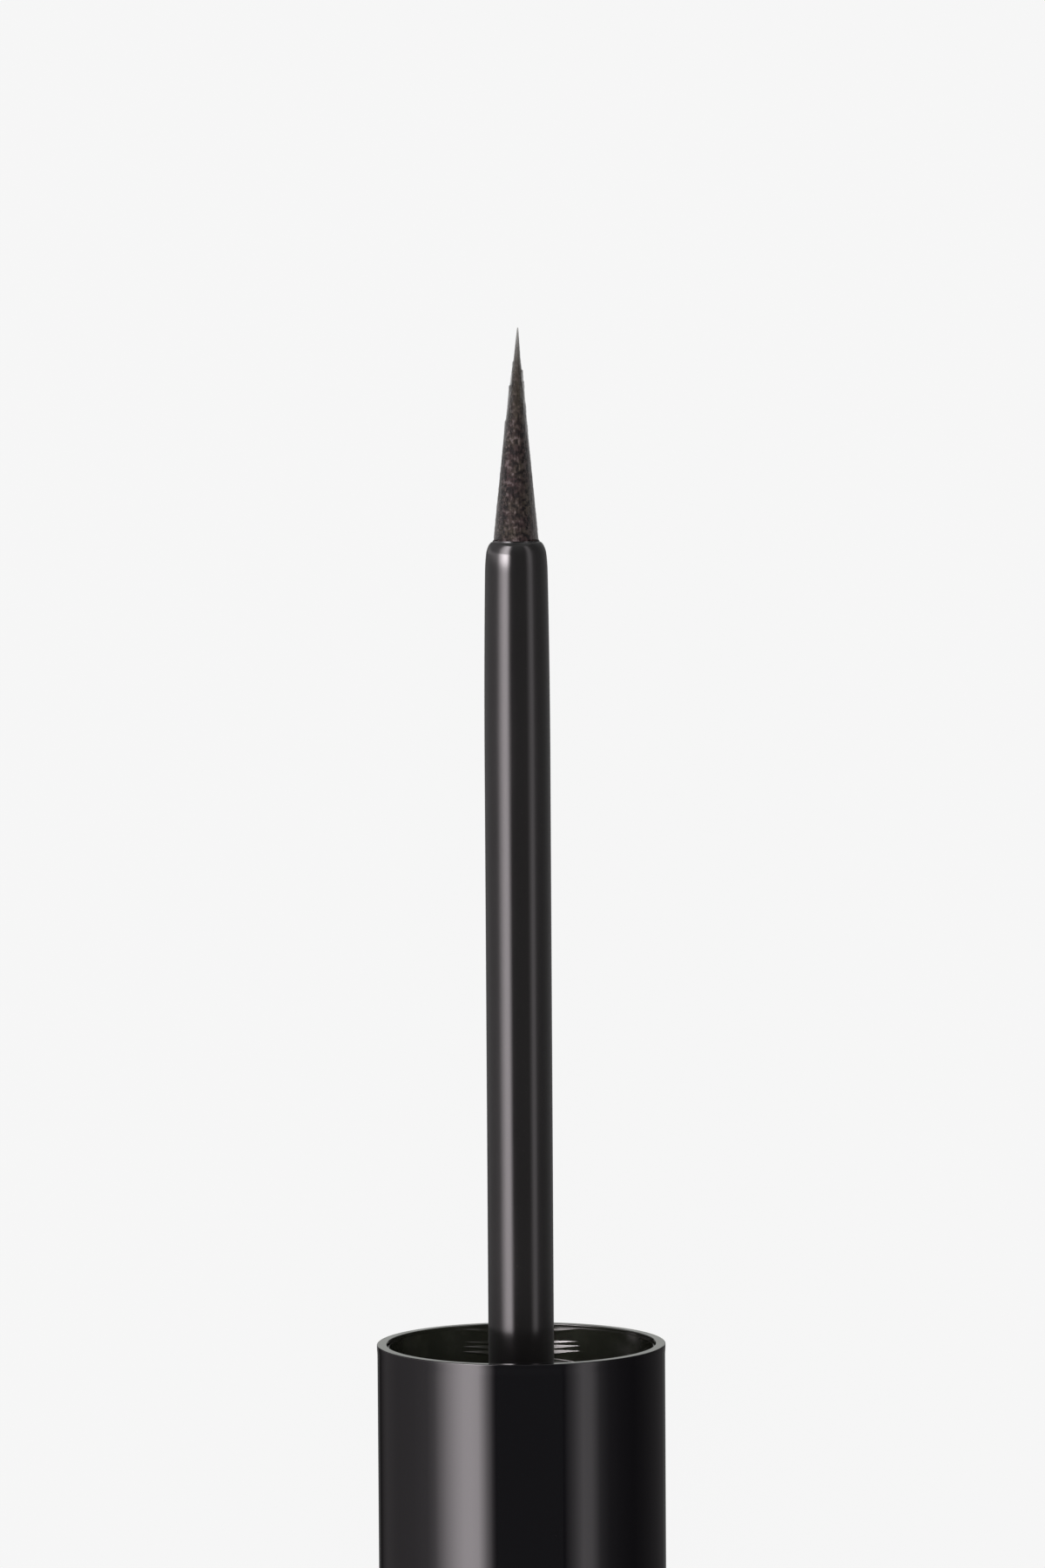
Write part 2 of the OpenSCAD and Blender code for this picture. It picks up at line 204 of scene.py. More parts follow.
class StudioSizes(bpy.types.PropertyGroup):
    """Camera, lights and floor"""

    view_high: length("View height", "Height of the picture at the pen's axis", 71.3)
    camera_high: length("Camera height", "Height of the camera over the axis", 400)
    camera_back: length("Camera back", "How far the camera stands back from the mouth", 60.36)
    aim_back: length("Aim", "How far back from the mouth the camera aims", 25.66)
    camera_side: length("Camera side", "How far the camera stands beside the axis", 0.22)
    roll: bpy.props.FloatProperty(
        name="Roll", description="Tilt of the picture", default=math.radians(0.36), subtype="ANGLE")
    pale: number("Paleness", "Brightness of the floor and the sky", 0.921)
    floor_soak: number("Floor soak", "Share of light that the floor gives back", 0.018)
    table_light: number("Table light", "Light of the lamps that the floor receives, over pi", 0.6)
    left_watts: number("Left lamp", "Watts of the lamp at the left", 5.8, high=100)
    right_watts: number("Right lamp", "Watts of the lamp at the right", 1.4, high=100)
    above_watts: number("Lamp above", "Watts of the lamp above", 6.0, high=100)
    gloom: number("Gloom", "Light that comes from where no lamp is", 0.10)
    end_light: number("End light", "Soft light from beyond the pen's two ends", 0.4, high=10)
    end_watts: number("End lamp", "Watts of the lamp beyond the cap", 1.2, high=100)
    reach: length("Light distance", "Distance of the light sheets from the axis", 500)


class EyelinerSettings(bpy.types.PropertyGroup):
    """All the settings of the pen and its studio"""

    cap: bpy.props.PointerProperty(type=CapSizes)
    wand: bpy.props.PointerProperty(type=WandSizes)
    bottle: bpy.props.PointerProperty(type=BottleSizes)
    thread: bpy.props.PointerProperty(type=ThreadSizes)
    finish: bpy.props.PointerProperty(type=FinishColours)
    studio: bpy.props.PointerProperty(type=StudioSizes)


# The frame


def span(node):
    """(low end, high end, radius) of a round CAD node, along and round the X axis."""
    low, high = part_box(node)
    return low.x, high.x, max(high.y, high.z, -low.y, -low.z)


def mouth():
    """Where the cap's mouth stands on the axis."""
    return span("cap_shell")[0]


def body_of(node):
    """The CAD body that carries a node."""
    bodies = frame["record"]["behaviour"]["bodies"]
    return next(body for body, members in bodies.items() if node in members)


def fit(piece, node, finish):
    """Puts a finished piece in the place of its CAD node."""
    piece.data.materials.append(finish)
    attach(piece, body_of(node))
    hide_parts(node)


# Mesh making


def softened(corners, steps=5):
    """Points of an outline whose corners, given as (x, radius, edge radius), are rounded."""
    # The most that a corner's rounding takes of the face beside it
    most = 0.49
    points = []
    count = len(corners)
    for i, (x, radius, edge) in enumerate(corners):
        here = Vector((x, radius))
        back = Vector(corners[i - 1][:2]) - here
        ahead = Vector(corners[(i + 1) % count][:2]) - here
        if edge <= 0:
            points.append((x, radius))
            continue
        half = back.angle(ahead) / 2
        reach = min(edge / math.tan(half), back.length * most, ahead.length * most)
        middle = (back.normalized() + ahead.normalized()).normalized()
        centre = here + middle * (reach / math.cos(half))
        start = here + back.normalized() * reach - centre
        end = here + ahead.normalized() * reach - centre
        swing = start.angle(end)
        for k in range(steps + 1):
            t = k / steps
            arm = (start * math.sin((1 - t) * swing) + end * math.sin(t * swing)) / math.sin(swing)
            points.append(tuple(centre + arm))
    return points


def held(points, closed=True):
    """The outline with a line close to each end of its long faces, so that they shade flat."""
    result = []
    pairs = zip(points, points[1:] + points[:1]) if closed else zip(points, points[1:])
    for start, end in pairs:
        result.append(start)
        a, b = Vector(start), Vector(end)
        run = (b - a).length
        if run > 4 * HOLD:
            result.append(tuple(a + (b - a) * (HOLD / run)))
            result.append(tuple(b - (b - a) * (HOLD / run)))
    if not closed:
        result.append(points[-1])
    return result


def evenly(x0, x1, radius, step):
    """Points along a straight wall, about one step apart."""
    count = max(2, math.ceil(abs(x1 - x0) / step))
    return [(x0 + (x1 - x0) * i / count, radius) for i in range(count + 1)]


def bands(rows, columns, ring=False, loops=True):
    """Faces between rows of points. ring joins the last row to the first, and loops each row's ends."""
    faces = []
    for i in range(rows if ring else rows - 1):
        low, high = i * columns, (i + 1) % rows * columns
        for k in range(columns if loops else columns - 1):
            ahead = (k + 1) % columns
            faces.append((low + k, low + ahead, high + ahead, high + k))
    return faces


def placed(data, shape):
    """An object in the scene whose mesh is filled from a bmesh."""
    shape.to_mesh(data)
    shape.free()
    piece = bpy.data.objects.new(data.name, data)
    bpy.context.scene.collection.objects.link(piece)
    return piece


def new_piece(name, points, faces, smooth=True):
    """A mesh object from points and faces, with its doubled points merged and its faces turned out."""
    data = bpy.data.meshes.new(name)
    data.from_pydata([tuple(p) for p in points], [], faces)
    shape = bmesh.new()
    shape.from_mesh(data)
    bmesh.ops.remove_doubles(shape, verts=shape.verts, dist=ON_AXIS)
    bmesh.ops.recalc_face_normals(shape, faces=shape.faces)
    piece = placed(data, shape)
    if smooth:
        data.shade_smooth()
        data.set_sharp_from_angle(angle=HARD_EDGE)
    return piece


def turned(name, outline, steps=ROUND_STEPS, relief=None):
    """A piece turned about the X axis from an outline of (x, radius) points.

    An outline that starts and ends on the axis is a solid; any other closes on itself as a ring.
    relief adds to the radius, and takes places, radii and angles. Angle zero is the lower side.
    """
    outline = np.array(outline)
    ring = outline[0, 1] > ON_AXIS
    angle = np.arange(steps) * TURN / steps
    x = np.repeat(outline[:, :1], steps, axis=1)
    radius = np.repeat(outline[:, 1:], steps, axis=1)
    if relief:
        radius = radius + relief(x, radius, angle[None, :])
    points = np.stack([x, radius * np.sin(angle), -radius * np.cos(angle)], axis=-1).reshape(-1, 3)
    return new_piece(name, points, bands(len(outline), steps, ring=ring))


def eased(t):
    """A smooth rise from zero to one."""
    t = np.clip(t, 0, 1)
    return t * t * (3 - 2 * t)


def ridges(thread, wall, height, turns, start, reach=1e-6):
    """Relief of a thread on the parts of an outline within reach of the wall's radius.

    A negative height stands into a bore.
    """
    def relief(x, radius, angle):
        rise = np.zeros_like(x)
        for first in range(thread.starts):
            turned_by = (angle - TURN * first / thread.starts) % TURN
            for lap in range(math.ceil(turns)):
                swept = turned_by + TURN * lap
                ends = np.minimum(swept, TURN * turns - swept) / thread.run_out
                offset = np.abs(x - start - thread.lead * swept / TURN)
                flank = (thread.root_wide / 2 - offset) / ((thread.root_wide - thread.crest_wide) / 2)
                rise = np.maximum(rise, eased(flank) * eased(ends))
        return (wall + height - radius) * rise * (np.abs(radius - wall) < reach)
    return relief


def combined(piece, other, operation):
    """Unites a second piece with the first, or cuts it out of it, and removes it."""
    modifier = piece.modifiers.new("Boolean", "BOOLEAN")
    modifier.operation = operation
    modifier.object = other
    modifier.solver = "EXACT"
    scene_graph = bpy.context.evaluated_depsgraph_get()
    data = bpy.data.meshes.new_from_object(piece.evaluated_get(scene_graph))
    piece.modifiers.clear()
    piece.data = data
    bpy.data.objects.remove(other)
    data.set_sharp_from_angle(angle=HARD_EDGE)


# Finishes


def times(shade, amount):
    """A colour made lighter or darker."""
    return tuple(amount * c for c in shade)


class Wiring:
    """A node tree that is wired up one node at a time."""

    def __init__(self, tree):
        self.tree = tree

    def fill(self, socket, value):
        """Links an input, or gives it a plain value. A colour of three numbers is made opaque."""
        if isinstance(value, bpy.types.NodeSocket):
            self.tree.links.new(value, socket)
        elif socket.type == "RGBA" and len(value) == 3:
            socket.default_value = (*value, 1)
        else:
            socket.default_value = value

    def add(self, kind, inputs=None, **settings):
        """Adds a node, sets its settings and fills or links its inputs."""
        node = self.tree.nodes.new(kind)
        for key, value in settings.items():
            setattr(node, key, value)
        for key, value in (inputs or {}).items():
            self.fill(node.inputs[key], value)
        return node

    def sum(self, operation, *values):
        """Arithmetic on two or three values."""
        return self.add("ShaderNodeMath", dict(enumerate(values)), operation=operation).outputs[0]

    def spread(self, value, from_low, from_high, to_low=0.0, to_high=1.0):
        """A value moved from one range to another."""
        node = self.add("ShaderNodeMapRange", {
            "Value": value, "From Min": from_low, "From Max": from_high,
            "To Min": to_low, "To Max": to_high})
        return node.outputs[0]


class Finish(Wiring):
    """A procedural material."""

    def __init__(self, name, **shader):
        self.material = bpy.data.materials.new(name)
        self.material.use_nodes = True
        super().__init__(self.material.node_tree)
        self.surface = self.tree.nodes["Principled BSDF"]
        self.place = self.add("ShaderNodeTexCoord").outputs["Object"]
        for key, value in shader.items():
            self.set(key.replace("_", " ").title().replace("Ior", "IOR"), value)

    def set(self, socket, value):
        """Sets or links one input of the shader."""
        self.fill(self.surface.inputs[socket], value)

    def stretched(self, x, y, z):
        """Object coordinates with their own number of features to the metre on each axis."""
        return self.add("ShaderNodeMapping", {"Vector": self.place, "Scale": (x, y, z)}).outputs[0]

    def clouds(self, scale, detail=3.0, roughness=0.5, vector=None):
        """Noise with about scale features to the metre, from zero to one."""
        node = self.add("ShaderNodeTexNoise", {
            "Vector": vector or self.place, "Scale": scale, "Detail": detail, "Roughness": roughness})
        return node.outputs[0]

    def ramp(self, value, stops):
        """Colours by value. Each stop is a place and a colour."""
        node = self.add("ShaderNodeValToRGB", {"Fac": value})
        elements = node.color_ramp.elements
        elements.remove(elements[1])
        elements[0].position = stops[0][0]
        elements[0].color = (*stops[0][1], 1)
        for place, shade in stops[1:]:
            elements.new(place).color = (*shade, 1)
        return node.outputs["Color"]

    def mixed(self, amount, first, second):
        """Two colours mixed by an amount."""
        return self.add("ShaderNodeMix", {0: amount, 6: first, 7: second}, data_type="RGBA").outputs[2]

    def along(self, axis):
        """The place along one axis, in metres."""
        node = self.add("ShaderNodeSeparateXYZ", {"Vector": self.place})
        return node.outputs["XYZ".index(axis)]

    def bumps(self, height, deep):
        """Raises the surface by height, which runs from zero to one, times deep metres."""
        before = self.surface.inputs["Normal"].links
        node = self.add("ShaderNodeBump", {"Height": height, "Distance": deep, "Strength": 1.0})
        if before:
            self.tree.links.new(before[0].from_socket, node.inputs["Normal"])
        self.set("Normal", node.outputs[0])

    def worn(self, scale, detail, smooth, rough):
        """A roughness that changes from place to place. Clouds lie mostly between 0.3 and 0.7."""
        self.set("Roughness", self.spread(self.clouds(scale, detail), 0.3, 0.7, smooth, rough))


def gloss_black(name, shade, roughness, haze=0.0, bore=None):
    """Polished black plastic: faint waves of the mould, fine dust and a little haze.

    bore is the radius within which the plastic is dull, where that ends along the axis, and its colour.
    """
    finish = Finish(name, ior=1.5, sheen_weight=haze, sheen_roughness=0.5)
    specks = finish.spread(finish.clouds(9000, 2.0), 0.72, 0.78)
    outside = finish.mixed(finish.sum("MULTIPLY", specks, 0.35), shade, times(shade, 4))
    if bore:
        radius, end, dull = bore
        across = finish.add("ShaderNodeVectorMath", {0: finish.stretched(0, 1, 1)}, operation="LENGTH")
        inside = finish.sum("MULTIPLY", finish.sum("LESS_THAN", across.outputs["Value"], radius),
                            finish.sum("LESS_THAN", finish.along("X"), end))
        outside = finish.mixed(inside, outside, dull)
    finish.set("Base Color", outside)
    finish.worn(180, 4.0, roughness * 0.85, roughness * 1.2)
    finish.bumps(finish.clouds(220, 1.0), 0.0012 * MM)
    finish.bumps(finish.clouds(26000, 2.0), 0.00008 * MM)
    return finish.material


def satin_black(name, shade, roughness):
    """Satin black plastic with the fine grain of an unpolished mould."""
    finish = Finish(name, ior=1.5)
    rubbed = finish.spread(finish.clouds(700, 4.0), 0.45, 0.75)
    finish.set("Base Color", finish.mixed(rubbed, shade, times(shade, 1.6)))
    finish.worn(400, 3.0, roughness * 0.8, roughness * 1.25)
    finish.bumps(finish.clouds(14000, 3.0), 0.0012 * MM)
    return finish.material


def natural_plastic(name, shade, liquid, dirty_from, dirty_to):
    """Milky soft plastic, stained by the liquid towards its orifice."""
    finish = Finish(name, subsurface_weight=0.35, subsurface_scale=0.6 * MM, ior=1.5)
    reach = finish.spread(finish.along("X"), dirty_from, dirty_to, 0.75, 0.15)
    runs = finish.clouds(1.0, 4.0, 0.6, finish.stretched(260, 900, 900))
    stain = finish.spread(finish.sum("ADD", reach, runs), 0.72, 1.15)
    milky = finish.mixed(finish.clouds(600, 3.0), shade, times(shade, 0.85))
    finish.set("Base Color", finish.mixed(stain, milky, times(liquid, 4)))
    finish.set("Roughness", finish.spread(stain, 0.0, 1.0, 0.42, 0.12))
    finish.bumps(finish.clouds(5000, 3.0), 0.002 * MM)
    return finish.material


def seal_foam(name, shade):
    """Foamed plastic: closed cells under a thin skin."""
    finish = Finish(name, roughness=0.8, subsurface_weight=0.2, subsurface_scale=0.4 * MM)
    voronoi = finish.add("ShaderNodeTexVoronoi", {"Vector": finish.place, "Scale": 5200.0})
    cells = voronoi.outputs["Distance"]
    finish.set("Base Color", finish.mixed(finish.spread(cells, 0.1, 0.6), times(shade, 0.6), shade))
    finish.bumps(cells, 0.05 * MM)
    finish.bumps(finish.clouds(2500, 3.0), 0.02 * MM)
    return finish.material


def turned_steel(name, shade):
    """Bar steel with the fine rings that a lathe leaves, dull and slightly spotted."""
    finish = Finish(name, metallic=1.0, anisotropic=0.5)
    spots = finish.spread(finish.clouds(1500, 5.0, 0.65), 0.5, 0.75)
    finish.set("Base Color", finish.mixed(spots, shade, times(shade, 0.55)))
    finish.worn(900, 4.0, 0.28, 0.45)
    rings = finish.clouds(1.0, 2.0, 0.6, finish.stretched(22000, 300, 300))
    finish.bumps(rings, 0.004 * MM)
    return finish.material


def polished_steel(name, shade, liquid):
    """Ball steel, bright where it is bare and dark where the liquid clings."""
    finish = Finish(name, ior=1.5)
    film = finish.spread(finish.clouds(900, 4.0), 0.44, 0.52)
    finish.set("Base Color", finish.mixed(film, shade, liquid))
    finish.set("Metallic", finish.sum("SUBTRACT", 1.0, film))
    finish.worn(3000, 3.0, 0.04, 0.12)
    finish.bumps(film, 0.004 * MM)
    return finish.material


def felt(name, dark, brown, light, tip):
    """Pressed fibres: brown with pigment, olive near the point and paler at the point, with pale specks that
    are partly dry fibres and partly painted glints, thinned by painted shade on the side away from the left
    lamp.
    """
    finish = Finish(name, roughness=0.62, ior=1.45, specular_ior_level=0.12, sheen_weight=0.35,
                    sheen_roughness=0.4, sheen_tint=(1, 0.8, 0.78, 1))
    along = finish.along("X")
    near_tip = finish.spread(along, tip + 5.0 * MM, tip + 3.4 * MM)
    tone = finish.sum("ADD", finish.spread(finish.clouds(1100, 2.0), 0.40, 0.66),
                      finish.sum("MULTIPLY", near_tip, 0.75))
    olive = (brown[0] * 1.25, brown[1] * 1.65, brown[2] * 1.20)
    middle = finish.mixed(finish.sum("MINIMUM", tone, 1.0), brown, olive)
    grains = finish.clouds(4600, 2.0, 0.5)
    strands = finish.clouds(1.0, 3.0, 0.6, finish.stretched(2200, 15000, 15000))
    mottled = finish.sum("ADD", finish.sum("MULTIPLY", grains, 0.72), finish.sum("MULTIPLY", strands, 0.28))
    soaked = finish.sum("MAXIMUM", finish.spread(mottled, 0.42, 0.52), finish.sum("MULTIPLY", near_tip, 0.6))
    body = finish.mixed(soaked, dark, middle)
    # Painted shade: the +Y side, away from the left lamp, keeps only a fifth of the pale specks and so looks
    # darker; towards the point there are fewer specks on both sides
    painted_lit_side = finish.sum("MULTIPLY", finish.spread(finish.along("Y"), -0.1 * MM, 0.3 * MM, 1.0, 0.2),
                     finish.spread(near_tip, 0.0, 1.0, 1.0, 0.45))
    # Pale specks: partly dry fibres, partly painted glints of fibres lit by the left lamp
    specks = finish.sum("MULTIPLY", finish.spread(mottled, 0.54, 0.66), painted_lit_side)
    specked = finish.mixed(specks, body, light)
    point = finish.sum("POWER", finish.spread(along, tip + 3.2 * MM, tip), 3.3)
    bleached = (0.50, 0.49, 0.475)
    finish.set("Base Color", finish.mixed(point, specked, bleached))
    finish.bumps(grains, 0.045 * MM)
    finish.bumps(strands, 0.012 * MM)
    # Loose fibres at the outline let light through, most of it near the point
    edge = finish.add("ShaderNodeLayerWeight", {"Blend": 0.5}).outputs["Facing"]
    loose = finish.sum("MULTIPLY", edge, finish.spread(along, tip + 2.2 * MM, tip + 5.5 * MM, 1.15, 0.5))
    finish.set("Alpha", finish.sum("SUBTRACT", 1.0, loose))
    return finish.material


def liquid_ink(name, shade):
    """The make-up: black, wet, and a little brown where it is thin."""
    finish = Finish(name, ior=1.36, coat_weight=0.3, coat_roughness=0.02)
    swirls = finish.clouds(300, 4.0, 0.6, finish.stretched(0.4, 1.0, 1.0))
    finish.set("Base Color", finish.mixed(finish.spread(swirls, 0.4, 0.7), shade, times(shade, 2.5)))
    finish.worn(150, 2.0, 0.02, 0.06)
    finish.bumps(finish.clouds(160, 2.0), 0.003 * MM)
    return finish.material


# Pieces


class PieceOperator:
    """What the operators of all the pieces share"""

    bl_options = {"REGISTER", "UNDO"}

    def execute(self, context):
        self.build(context.scene.eyeliner)
        return {"FINISHED"}


class EYELINER_OT_cap_shell(PieceOperator, bpy.types.Operator):
    """Turn the cap's glossy outer shell, with its thin lip and its closed end"""

    bl_idname = "eyeliner.cap_shell"
    bl_label = "Cap shell"

    def build(self, pen):
        cap = pen.cap
        x0, x1, lip_r = span("cap_shell")
        body_r = lip_r - cap.lip_proud
        bore_r = lip_r - cap.lip_wall
        step_x = span("inner_cap")[1] - cap.socket_len
        back_r = body_r - cap.back_wall
        # Behind its edge the lip eases down to the body
        crest_x = x0 + cap.lip_edge * 1.5
        fall = [(crest_x + cap.lip_len * t, lip_r - cap.lip_proud * float(eased(t)), 0)
                for t in np.linspace(0, 1, 11)]
        outline = softened([
            (x0, bore_r, cap.lip_inner_edge),
            (x0, lip_r, cap.lip_edge),
            *fall,
            (x1, body_r, cap.end_edge),
            (x1, 0, 0),
            (x1 - cap.end_wall, 0, 0),
            (x1 - cap.end_wall, back_r, 0.3 * MM),
            (step_x, back_r, CRISP),
            (step_x, bore_r, CRISP),
        ])
        # The outline starts on the axis at the closed end and ends there again
        split = outline.index((x1, 0)) + 1
        outline = held(outline[split:] + outline[:split], closed=False)
        piece = turned("gloss_cap", outline)
        bore = bore_r + cap.lip_inner_edge, x1 - cap.end_wall / 2, pen.finish.insert
        fit(piece, "cap_shell", gloss_black("gloss_black_cap", pen.finish.gloss, 0.075, bore=bore))


class EYELINER_OT_inner_cap(PieceOperator, bpy.types.Operator):
    """Mould the threaded insert in the cap, with the ribbed socket that holds the stem"""

    bl_idname = "eyeliner.inner_cap"
    bl_label = "Threaded insert"

    # Low teeth in the mouth: start, crest, end and height, in mm from the insert's edge
    TEETH = (
        (0.00, 0.20, 0.36, 0.0175), (0.60, 0.76, 0.80, 0.024), (0.80, 1.00, 1.04, 0.047),
        (1.04, 1.24, 1.32, 0.050))
    # How far round they reach from the thread's start, and how far their ends taper
    TEETH_REACH = math.radians(28)
    TEETH_TAPER = math.radians(13)

    def build(self, pen):
        cap, thread = pen.cap, pen.thread
        x0, x1, outer_r = span("inner_cap")
        root_r = outer_r - cap.insert_wall
        back_x = x1 - cap.socket_len
        floor_x = back_x - cap.insert_floor
        stem_r = span("stem")[2]
        socket_r = stem_r + cap.seat
        boss_r = socket_r + cap.socket_wall
        bottom_x = x1 - cap.socket_end
        fine = 0.05 * MM
        margin = 0.03 * MM
        # The mouth's bore is as wide as the shell's lip allows
        lip_bore_r = outer_r - 2 * margin
        wall_top = x0 + cap.lead_in + cap.lead_cone
        mouth_wall = []
        for t in np.linspace(0, 1, 160):
            deep = (wall_top - x0) * (1 - t)
            cone = float(eased((deep - cap.lead_in) / cap.lead_cone))
            mouth_wall.append((x0 + deep, lip_bore_r + (root_r - lip_bore_r) * cone))
        outline = softened([
            (bottom_x, 0, 0),
            (bottom_x, socket_r, 0.1 * MM),
            (floor_x, socket_r, 0.12 * MM),
            (floor_x, root_r, 0.25 * MM),
            (wall_top, root_r, 0),
            *((x, r, 0) for x, r in mouth_wall[1:]),
            (x0, outer_r, 0),
            (back_x, outer_r, 0.15 * MM),
            (back_x, boss_r, 0.3 * MM),
            (x1, boss_r, 0.2 * MM),
            (x1, 0, 0),
        ])
        split = outline.index((wall_top, root_r))
        turn_in = max(i for i in range(split) if abs(outline[i][1] - root_r) < ON_AXIS)
        wall = evenly(outline[turn_in][0], wall_top, root_r, fine)
        outline = held(outline[:turn_in], closed=False) + wall + held(outline[split + 1:], closed=False)
        thread_relief = ridges(
            thread, root_r, -thread.cap_high, thread.cap_turns, mouth() + thread.cap_start,
            reach=outer_r - root_r - margin)

        def relief(x, radius, angle):
            in_mouth = (radius < outer_r - margin) * (radius > root_r)
            return thread_relief(x, radius, angle) - self.teeth(x - x0, angle, thread) * in_mouth

        piece = turned("threaded_insert", outline, steps=360, relief=relief)
        combined(piece, self.ribs(cap, back_x, bottom_x, boss_r, span("cap_weight")[2]), "UNION")
        fit(piece, "inner_cap", satin_black("satin_black_insert", pen.finish.insert, 0.16))

    def teeth(self, deep, angle, thread):
        """Height of the low teeth in the mouth where the ridges of the thread begin."""
        pitch = TURN / thread.starts
        off = np.abs((angle + pitch / 2) % pitch - pitch / 2)
        # They get narrower and lower towards their ends
        taper = np.clip((self.TEETH_REACH - off) / self.TEETH_TAPER, 0.001, 1)
        deep = deep / MM
        height = 0
        for start, crest, end, high in self.TEETH:
            top = start + (crest - start) * taper
            rise = eased((deep - start) / (top - start))
            fall = eased((deep - top) / ((end - crest) * taper))
            height = height + high * MM * taper * (rise - fall)
        return height

    def ribs(self, cap, start, end, inner_r, outer_r):
        """The ribs round the socket, sunk a little into it."""
        shape = bmesh.new()
        sunk = 0.3 * MM
        for i in range(cap.ribs):
            turn = Matrix.Rotation(TURN * i / cap.ribs, 4, "X")
            middle = Vector(((start + end - sunk) / 2, (inner_r - sunk + outer_r) / 2, 0))
            size = (end - start + sunk, outer_r - inner_r + sunk, cap.rib_wall)
            block = turn @ Matrix.Translation(middle) @ Matrix.Diagonal((*size, 1))
            bmesh.ops.create_cube(shape, size=1, matrix=block)
        bmesh.ops.bevel(
            shape, geom=shape.edges[:], offset=0.1 * MM, segments=3, profile=0.5, affect="EDGES")
        return placed(bpy.data.meshes.new("ribs"), shape)


class EYELINER_OT_weight(PieceOperator, bpy.types.Operator):
    """Turn the steel weight in the cap's far end"""

    bl_idname = "eyeliner.weight"
    bl_label = "Weight"

    def build(self, pen):
        x0, x1, radius = span("cap_weight")
        bevel, edge = 0.15 * MM, 0.04 * MM
        dimple_r, dimple_deep = 0.5 * MM, 0.35 * MM
        outline = softened([
            (x0 + dimple_deep, 0, 0),
            (x0, dimple_r, 0.03 * MM),
            (x0, radius - bevel, edge),
            (x0 + bevel, radius, edge),
            (x1 - bevel, radius, edge),
            (x1, radius - bevel, edge),
            (x1, 0, 0),
        ])
        piece = turned("balance_weight", held(outline, closed=False))
        fit(piece, "cap_weight", turned_steel("turned_steel", pen.finish.steel))


class EYELINER_OT_stem(PieceOperator, bpy.types.Operator):
    """Turn the wand's glossy stem, with its eased nose and rounded shoulder"""

    bl_idname = "eyeliner.stem"
    bl_label = "Stem"

    def build(self, pen):
        wand, seat = pen.wand, pen.cap.seat
        ring_x, x1, stem_r = span("stem")
        x0 = ring_x + wand.ring_high
        tip_r = span("fibre_tip")[2]
        nose_r = stem_r - wand.nose_taper
        ring_r = tip_r + wand.ring_wide
        deep = nose_r - wand.shoulder_worn - ring_r
        pocket_r = wand.tail_r + seat
        pocket_x = x0 + wand.tail_len + seat
        nose = [(x0 + wand.shoulder * (1 - math.cos(a)), deep * (1 - math.sin(a)))
                for a in np.linspace(0, math.pi / 2, 21)[1:]]
        nose += [(x0 + wand.shoulder + (wand.nose_len - wand.shoulder) * s * s, 0)
                 for s in np.linspace(0, 1, 61)[1:]]
        nose = [(x, self.nose_radius(x - x0, stem_r, wand) - lost) for x, lost in nose]
        ring = [(x0, tip_r), (ring_x, tip_r + wand.ring_wide * 0.3), (ring_x, tip_r + wand.ring_wide * 0.7)]
        outline = [(pocket_x, 0), (pocket_x, pocket_r)]
        outline += held([(pocket_x, pocket_r), (x0, pocket_r), (x0, tip_r)], closed=False)[1:-1]
        outline += ring + [(x0, ring_r)] + nose
        bevel = 0.2 * MM
        back = [nose[-1], (x1 - bevel, stem_r), (x1, stem_r - bevel), (x1, 0)]
        outline += held(back, closed=False)[1:]
        piece = turned("wand_stem", outline)
        fit(piece, "stem", gloss_black("gloss_black_stem", pen.finish.stem, 0.145, haze=0.36))

    def nose_radius(self, far, stem_r, wand):
        """Radius of the nose at a distance from its shoulder, but for the shoulder's rounding."""
        tapered = wand.nose_taper * max(0, 1 - far / wand.nose_len) ** 2
        worn = wand.shoulder_worn * max(0, 1 - far / wand.worn_len) ** 2
        return stem_r - tapered - worn


